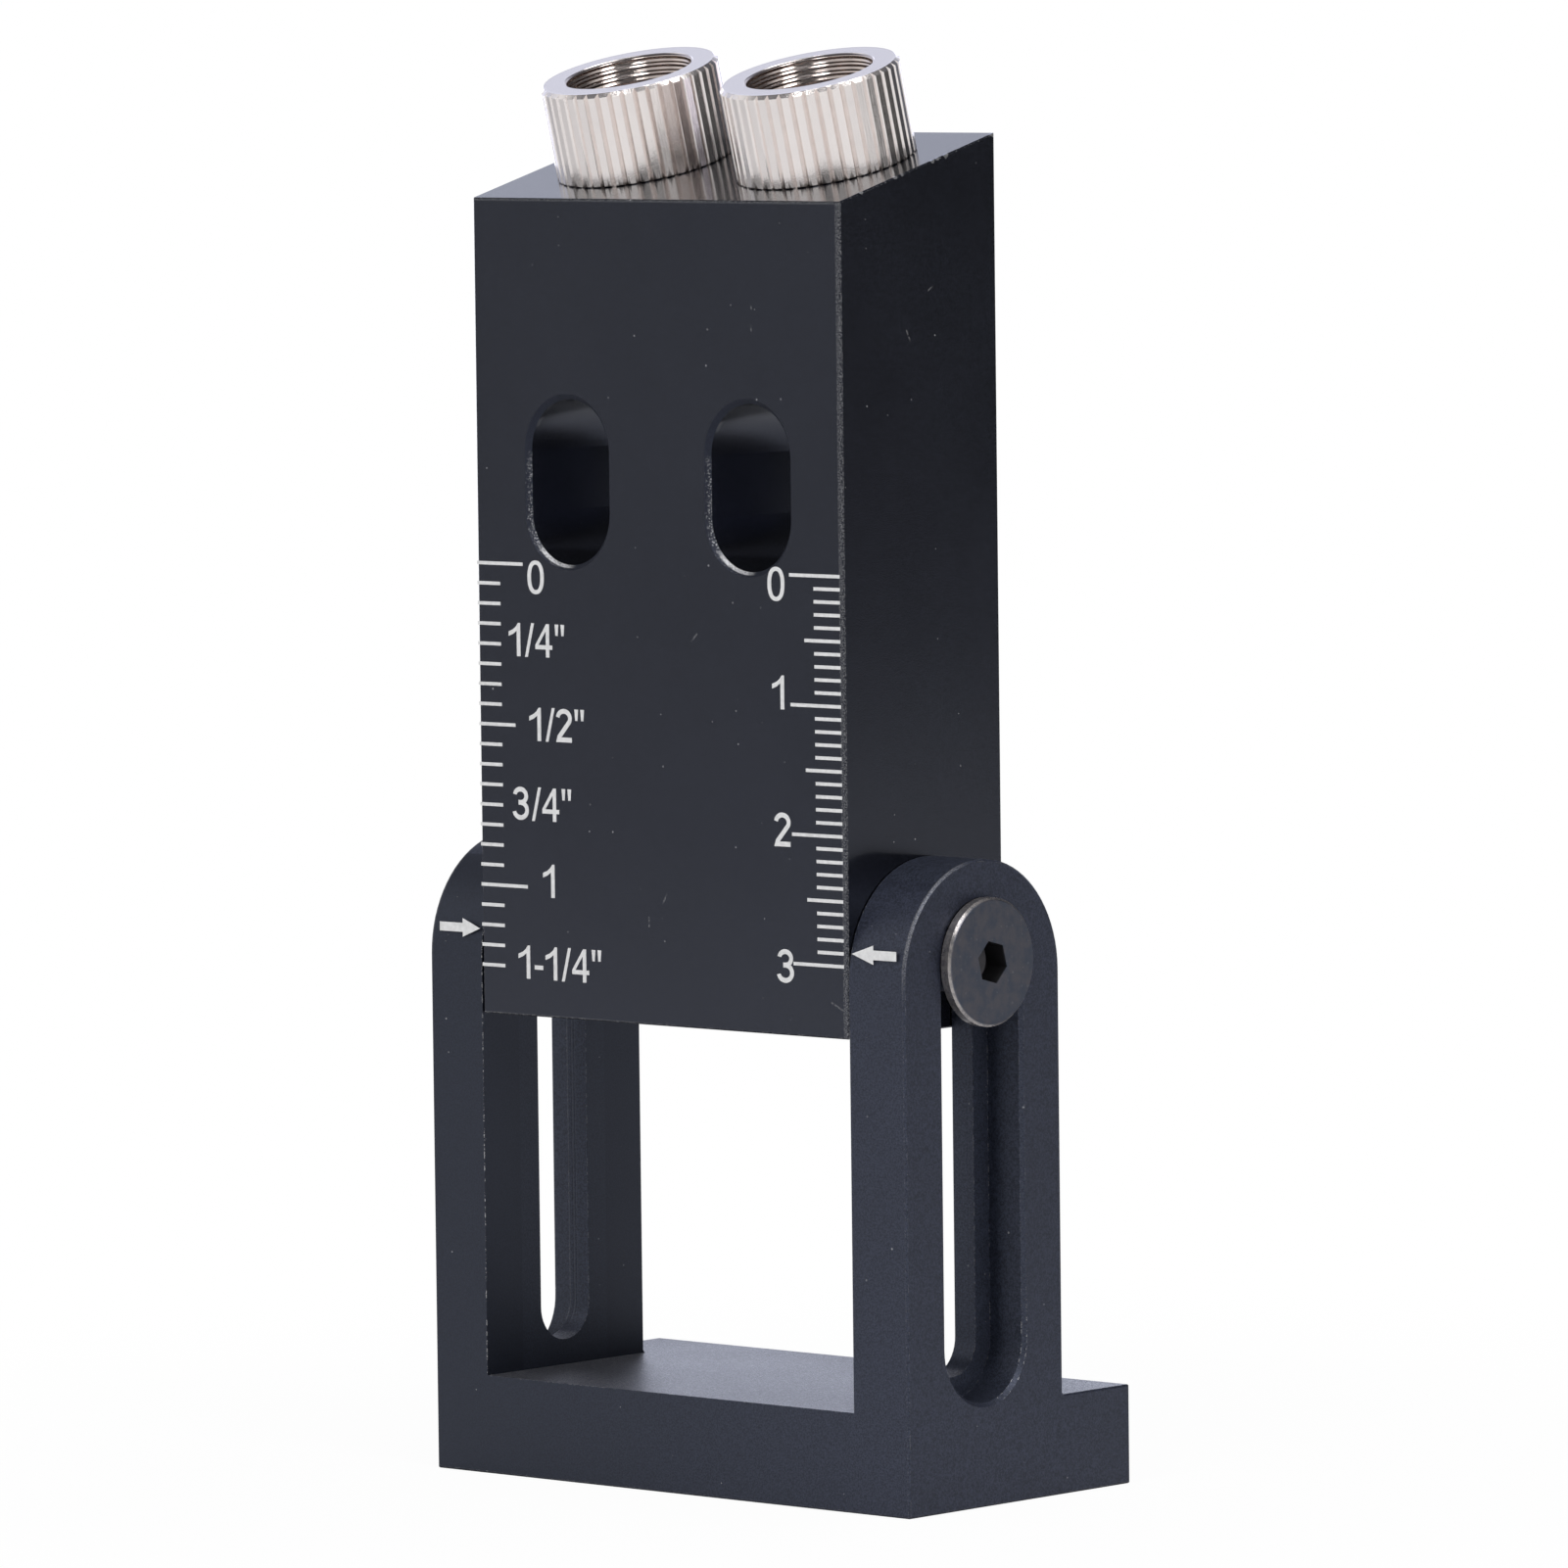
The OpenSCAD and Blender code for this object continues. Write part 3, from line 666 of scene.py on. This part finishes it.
MARK_GREY = (0.6, 0.6, 0.6, 1)
MARK_WHITE = (0.95, 0.95, 0.95, 1)


def mark_finish():
    material, tree, surface = new_material("white_mark")
    grain = use_group(tree, BLASTED_GRAIN, Place=place_of(tree), Grain=7000.0, Cloud=2500.0)
    feed(tree, surface["Base Color"], blend(tree, grain["Tone"], MARK_GREY, MARK_WHITE))
    surface["Roughness"].default_value = 0.7
    return material


FINISHES = {
    "stop_frame": frame_finish(),
    "guide_block": block_finish(),
    "drill_bushing_left": bushing_finish("left"),
    "drill_bushing_right": bushing_finish("right"),
    "clamp_screw_left": screw_finish("left"),
    "clamp_screw_right": screw_finish("right"),
}
WHITE_MARK = mark_finish()


def finish_nodes():
    for node, material in FINISHES.items():
        slots = frame["nodes"][node].data.materials
        slots.clear()
        slots.append(material)


# Glyphs of the scales as closed outlines, in units of the figures' height
STROKE = 0.145
ARC_STEPS = 20


def arc(centre_x, centre_y, radius_x, radius_y, start, end):
    angles = [math.radians(start + (end - start) * i / ARC_STEPS) for i in range(ARC_STEPS + 1)]
    return [(centre_x + radius_x * math.cos(a), centre_y + radius_y * math.sin(a)) for a in angles]


def rounded_oval(half_w, half_h, centre, power=2.3):
    points = []
    steps = 4 * ARC_STEPS
    for i in range(steps):
        a = 2 * math.pi * i / steps
        c, s = math.cos(a), math.sin(a)
        points.append((centre[0] + half_w * math.copysign(abs(c) ** (2 / power), c),
                       centre[1] + half_h * math.copysign(abs(s) ** (2 / power), s)))
    return points


# Outline of a stroke of even width along a line of points, with mitred corners
def ribbon(points, width):
    left, right = [], []
    for i, point in enumerate(points):
        here = Vector(point)
        before = (here - Vector(points[i - 1])).normalized() if i else None
        after = (Vector(points[i + 1]) - here).normalized() if i + 1 < len(points) else None
        before, after = before or after, after or before
        along = (before + after).normalized()
        across = Vector((-along.y, along.x))
        reach = width / 2 / max(0.3, across.dot(Vector((-before.y, before.x))))
        left.append(tuple(here + across * reach))
        right.append(tuple(here - across * reach))
    return left + right[::-1]


def figure_zero():
    middle = (0.335, 0.5)
    return [rounded_oval(0.335, 0.505, middle), rounded_oval(0.335 - STROKE, 0.505 - 0.85 * STROKE, middle)]


def figure_one():
    return [[(0.33, 0), (0.475, 0), (0.475, 1), (0.385, 1), (0.31, 0.90), (0.18, 0.805), (0, 0.735),
             (0, 0.60), (0.18, 0.665), (0.33, 0.765)]]


def figure_two():
    half = STROKE / 2
    bowl = arc(0.325, 0.715, 0.25, 0.215, 172, -28)
    return [ribbon(bowl + [(0.13, 0.16), (0.10, half), (0.64, half)], STROKE)]


def figure_three():
    half = STROKE / 2
    upper_y, upper_r, lower_y, lower_r = 0.7275, 0.20, 0.30, 0.2275
    return [
        arc(0.32, upper_y, 0.235 + half, upper_r + half, 168, -47)
        + arc(0.32, lower_y, 0.265 + half, lower_r + half, 50, -168)
        + arc(0.32, lower_y, 0.265 - half, lower_r - half, -168, 90)
        + [(0.24, lower_y + lower_r - half), (0.24, upper_y - upper_r + half)]
        + arc(0.32, upper_y, 0.235 - half, upper_r - half, -90, 168)
    ]


def figure_four():
    stem, side, bar_low, bar_high = 0.43, 0.57, 0.235, 0.365
    return [
        [(stem, 0), (side, 0), (side, bar_low), (0.69, bar_low), (0.69, bar_high), (side, bar_high),
         (side, 1), (0.45, 1), (0, bar_high), (0, bar_low), (stem, bar_low)],
        [(stem, bar_high), (0.13, bar_high), (stem, 0.79)],
    ]


def slash():
    return [[(0, -0.01), (0.115, -0.01), (0.385, 1.01), (0.27, 1.01)]]


def dash():
    return [[(0, 0.29), (0.35, 0.29), (0.35, 0.42), (0, 0.42)]]


def inch_mark():
    return [[(x + 0.03, 0.66), (x + 0.12, 0.66), (x + 0.15, 1.0), (x, 1.0)] for x in (0, 0.24)]


# Each glyph with its room on a line, in units of the figures' height
GLYPHS = {"0": (figure_zero, 0.77), "1": (figure_one, 0.66), "2": (figure_two, 0.76),
          "3": (figure_three, 0.78), "4": (figure_four, 0.80), "/": (slash, 0.43), "-": (dash, 0.45),
          '"': (inch_mark, 0.39)}


def shifted(loops, x, z, scale):
    return [[(x + px * scale, z + pz * scale) for px, pz in loop] for loop in loops]


# How far the marks stand out of the face that carries them, and how far they reach into it
MARK_PROUD = 0.02 * MM
MARK_SUNK = 0.01 * MM


# One thin raised mesh of closed outlines in the plane of a front face
def marks_piece(name, outlines, face_y, body):
    vertices, faces = [], []
    for loops in outlines:
        triangles = tessellate_polygon([[Vector((x, z, 0)) for x, z in loop] for loop in loops])
        flat = [point for loop in loops for point in loop]
        first = len(vertices)
        count = len(flat)
        vertices += [(x, face_y - MARK_PROUD, z) for x, z in flat]
        vertices += [(x, face_y + MARK_SUNK, z) for x, z in flat]
        for a, b, c in triangles:
            pa, pb, pc = flat[a], flat[b], flat[c]
            turn = (pb[0] - pa[0]) * (pc[1] - pa[1]) - (pb[1] - pa[1]) * (pc[0] - pa[0])
            if turn < 0:
                b, c = c, b
            faces.append((first + a, first + b, first + c))
            faces.append((first + count + a, first + count + c, first + count + b))
        start = first
        for loop in loops:
            steps = len(loop)
            for i in range(steps):
                j = (i + 1) % steps
                faces.append((start + i, start + j, start + j + count, start + i + count))
            start += steps
    mesh = bpy.data.meshes.new(name)
    mesh.from_pydata(vertices, [], faces)
    work = bmesh.new()
    work.from_mesh(mesh)
    bmesh.ops.recalc_face_normals(work, faces=work.faces)
    work.to_mesh(mesh)
    work.free()
    mesh.materials.append(WHITE_MARK)
    piece = bpy.data.objects.new(name, mesh)
    bpy.context.scene.collection.objects.link(piece)
    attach(piece, body)
    return piece


def bar_outline(x0, x1, z, thickness):
    half = thickness / 2
    return [[(x0, z - half), (x1, z - half), (x1, z + half), (x0, z + half)]]


# Scales on the block's front face, measured from its edges and its underside
SCALE_ZERO = BLOCK_LOW.z + 35.6 * MM
TICK_LINE = 0.27 * MM
INCH_STEP = 25.4 / 16 * MM
INCH_TICKS = 21
INCH_LENGTHS = {0: 4.9 * MM, 8: 3.9 * MM, 16: 5.0 * MM}
INCH_SHORT = 2.45 * MM
METRIC_TICKS = 31
METRIC_LENGTHS = (5.2 * MM, 3.7 * MM, 2.7 * MM)
METRIC_INSET = 0.4 * MM
FIGURE_HEIGHT = 2.62 * MM
# Text, its left end and its foot, from the block's middle and underside
INCH_LABELS = (("0", -13.9, 33.3), ('1/4"', -16.0, 28.35), ('1/2"', -13.9, 21.75), ('3/4"', -15.8, 15.45),
               ("1", -12.65, 9.45), ('1-1/4"', -15.4, 2.95))
METRIC_LABELS = (("0", 11.45, 33.55), ("1", 11.8, 25.2), ("2", 11.85, 14.6), ("3", 12.0, 4.05))
# Arrows on the arms that point to the scales: tip, back of the head and tail, then half the height of the
# head and of the shaft, in millimetres
ARROW_Z = 43.3 * MM
ARROWS = {"arrow_left": (-19.55, -21.42, -23.92, 0.74, 0.36),
          "arrow_right": (19.70, 21.90, 24.25, 0.74, 0.37)}


def inch_ticks():
    left = BLOCK_LOW.x
    return [bar_outline(left, left + INCH_LENGTHS.get(i, INCH_SHORT), SCALE_ZERO - i * INCH_STEP, TICK_LINE)
            for i in range(INCH_TICKS)]


def metric_ticks():
    right = BLOCK_HIGH.x - METRIC_INSET
    outlines = []
    for i in range(METRIC_TICKS):
        length = METRIC_LENGTHS[0 if i % 10 == 0 else 1 if i % 5 == 0 else 2]
        outlines.append(bar_outline(right - length, right, SCALE_ZERO - i * MM, TICK_LINE))
    return outlines


def label_outlines(labels):
    outlines = []
    for text, left, foot in labels:
        x = left * MM
        for letter in text:
            glyph, room = GLYPHS[letter]
            loops = shifted(glyph(), x, BLOCK_LOW.z + foot * MM, FIGURE_HEIGHT)
            if letter == '"':
                outlines += [[loop] for loop in loops]
            else:
                outlines.append(loops)
            x += room * FIGURE_HEIGHT
    return outlines


def arrow_outline(tip, head, tail, head_half, shaft_half, z):
    return [[[(tip, z), (head, z + head_half), (head, z + shaft_half), (tail, z + shaft_half),
              (tail, z - shaft_half), (head, z - shaft_half), (head, z - head_half)]]]


def make_marks():
    face = BLOCK_LOW.y
    marks_piece("inch_ticks", inch_ticks(), face, "guide")
    marks_piece("metric_ticks", metric_ticks(), face, "guide")
    marks_piece("inch_figures", label_outlines(INCH_LABELS), face, "guide")
    marks_piece("metric_figures", label_outlines(METRIC_LABELS), face, "guide")
    for name, lengths in ARROWS.items():
        arrow = arrow_outline(*[length * MM for length in lengths], ARROW_Z)
        marks_piece(name, arrow, FRAME_LOW.y, "frame")


# Light: a pale studio, white to the camera. Levels round the walls, by the turn from the front towards the
# right, low down and higher up: bright behind on the left, dark behind on the right, dim round the camera
LOW_WALL = ((-180, 0.07), (-168, 0.15), (-152, 2.3), (-120, 2.3), (-90, 0.9), (-62, 0.55), (-42, 0.43),
            (-20, 0.75), (10, 1.0), (24, 0.9), (34, 0.3), (50, 0.3), (60, 0.9), (95, 1.0), (112, 0.6),
            (124, 0.07), (180, 0.07))
HIGH_WALL = ((-180, 0.08), (-168, 0.15), (-152, 1.5), (-120, 1.5), (-95, 1.1), (-75, 1.0), (-58, 0.9),
             (-40, 0.6), (-30, 0.7), (0, 0.5), (22, 0.45), (28, 0.08), (57, 0.08), (63, 0.6), (100, 0.8),
             (112, 0.45), (122, 0.25), (126, 0.08), (180, 0.08))
# Direction of the daylight, which falls off as the wall rises, and its tint
BEHIND_LEFT = (-0.67, 0.74, 0.0)
DAYLIGHT = (0.92, 0.96, 1.14, 1)
OVERHEAD_GREY = (0.14, 0.14, 0.15, 1)
LAMP_DISTANCE = 0.9
LAMP_AIM = 0.06


def wall_levels(tree, share, stops):
    node = tree.nodes.new("ShaderNodeValToRGB")
    feed(tree, node.inputs[0], share)
    node.color_ramp.interpolation = "EASE"
    elements = node.color_ramp.elements
    while len(elements) < len(stops):
        elements.new(0.5)
    for element, (degrees, level) in zip(elements, stops):
        element.position = degrees / 360 + 0.5
        element.color = (level, level, level, 1)
    return node.outputs["Color"]


def make_world():
    world = bpy.data.worlds.new("studio")
    world.use_nodes = True
    bpy.context.scene.world = world
    tree = world.node_tree
    tree.nodes.clear()
    direction = tree.nodes.new("ShaderNodeTexCoord").outputs["Generated"]
    x, y, z = split(tree, direction)
    angle = calc(tree, "ARCTAN2", x, calc(tree, "MULTIPLY", y, -1.0))
    share = calc(tree, "MULTIPLY_ADD", angle, 0.5 / math.pi, 0.5)
    low_level = wall_levels(tree, share, LOW_WALL)
    walls = blend(tree, ramp(tree, z, 0.08, 0.24), low_level, wall_levels(tree, share, HIGH_WALL))
    overhead = ramp(tree, z, 0.52, 0.72)
    studio = blend(tree, overhead, walls, OVERHEAD_GREY)
    ray = tree.nodes.new("ShaderNodeLightPath").outputs
    toward = vector_calc(tree, "DOT_PRODUCT", direction, BEHIND_LEFT, result="Value")
    behind_left = ramp(tree, toward, 0.3, 0.8)
    rising = calc(tree, "MULTIPLY", behind_left, ramp(tree, z, 0.15, 0.42, 0.0, 0.56))
    daylight = blend(tree, behind_left, WHITE, DAYLIGHT)
    level = scaled(tree, vector_calc(tree, "MULTIPLY", studio, daylight), opposite(tree, rising))
    seen = blend(tree, ray["Is Camera Ray"], level, WHITE)
    background = tree.nodes.new("ShaderNodeBackground")
    feed(tree, background.inputs["Color"], seen)
    tree.links.new(background.outputs[0], tree.nodes.new("ShaderNodeOutputWorld").inputs[0])


# Soft box at a distance, by its direction from the jig: turn from the front towards the right, and height
def make_lamp(name, azimuth, elevation, width, height, power):
    a, e = math.radians(azimuth), math.radians(elevation)
    toward = Vector((math.sin(a) * math.cos(e), -math.cos(a) * math.cos(e), math.sin(e)))
    data = bpy.data.lights.new(name, "AREA")
    data.shape = "RECTANGLE"
    data.size = width
    data.size_y = height
    data.energy = power
    lamp = bpy.data.objects.new(name, data)
    lamp.location = toward * LAMP_DISTANCE + Vector((0, 0, LAMP_AIM))
    lamp.rotation_euler = toward.to_track_quat("Z", "Y").to_euler()
    bpy.context.scene.collection.objects.link(lamp)


# Floor: a white table top that keeps a faint shadow near the jig and fades into the backdrop. It ends sooner
# in front, on the left and on the right: turn from the front towards the right, and reach
FLOOR_REACH = ((-180, 1.3), (-85, 1.3), (-62, 0.62), (-22, 0.62), (-5, 1.1), (19, 0.36), (65, 0.36),
               (86, 1.3), (180, 1.3))
FLOOR_SIDES = 120
FLOOR_WHITE = (0.82, 0.82, 0.82, 1)
# The shadow ends between the first two distances from the jig, and what lights the jig between the others
SHADOW_ENDS = (0.04, 0.14)
FLOOR_FADES = (0.7, 1.25)


def floor_reach(degrees):
    for (low, first), (high, second) in zip(FLOOR_REACH, FLOOR_REACH[1:]):
        if degrees <= high:
            return first + (second - first) * (degrees - low) / (high - low)
    return FLOOR_REACH[-1][1]


def floor_finish():
    material = bpy.data.materials.new("floor")
    material.use_nodes = True
    tree = material.node_tree
    tree.nodes.clear()
    surface = tree.nodes.new("ShaderNodeBsdfDiffuse")
    surface.inputs["Color"].default_value = FLOOR_WHITE
    white = tree.nodes.new("ShaderNodeEmission")
    mixed = tree.nodes.new("ShaderNodeMixShader")
    away = vector_calc(tree, "LENGTH", place_of(tree), result="Value")
    ray = tree.nodes.new("ShaderNodeLightPath").outputs
    camera_share = calc(tree, "MULTIPLY", ray["Is Camera Ray"], ramp(tree, away, *SHADOW_ENDS, 0.96, 1.0))
    feed(tree, mixed.inputs[0], camera_share)
    tree.links.new(surface.outputs[0], mixed.inputs[1])
    tree.links.new(white.outputs[0], mixed.inputs[2])
    ended = tree.nodes.new("ShaderNodeMixShader")
    feed(tree, ended.inputs[0], calc(tree, "MULTIPLY", ramp(tree, away, *FLOOR_FADES),
                                     opposite(tree, ray["Is Camera Ray"])))
    tree.links.new(mixed.outputs[0], ended.inputs[1])
    tree.links.new(tree.nodes.new("ShaderNodeBsdfTransparent").outputs[0], ended.inputs[2])
    tree.links.new(ended.outputs[0], tree.nodes.new("ShaderNodeOutputMaterial").inputs[0])
    return material


def make_floor():
    rim = []
    for i in range(FLOOR_SIDES):
        degrees = 360 * i / FLOOR_SIDES - 180
        a, reach = math.radians(degrees), floor_reach(degrees)
        rim.append((reach * math.sin(a), -reach * math.cos(a), 0))
    mesh = bpy.data.meshes.new("floor")
    mesh.from_pydata(rim, [], [tuple(range(FLOOR_SIDES))])
    mesh.materials.append(floor_finish())
    floor = bpy.data.objects.new("floor", mesh)
    floor.location.z = FRAME_LOW.z
    bpy.context.scene.collection.objects.link(floor)


bpy.context.scene.view_settings.view_transform = "Standard"
make_camera()
make_world()
make_floor()
make_lamp("left_box", azimuth=12, elevation=46, width=0.24, height=0.46, power=2.4)
make_lamp("right_box", azimuth=73, elevation=46, width=0.24, height=0.46, power=2.4)
make_lamp("top_box", azimuth=150, elevation=82, width=0.44, height=0.44, power=2.6)
finish_nodes()
make_marks()
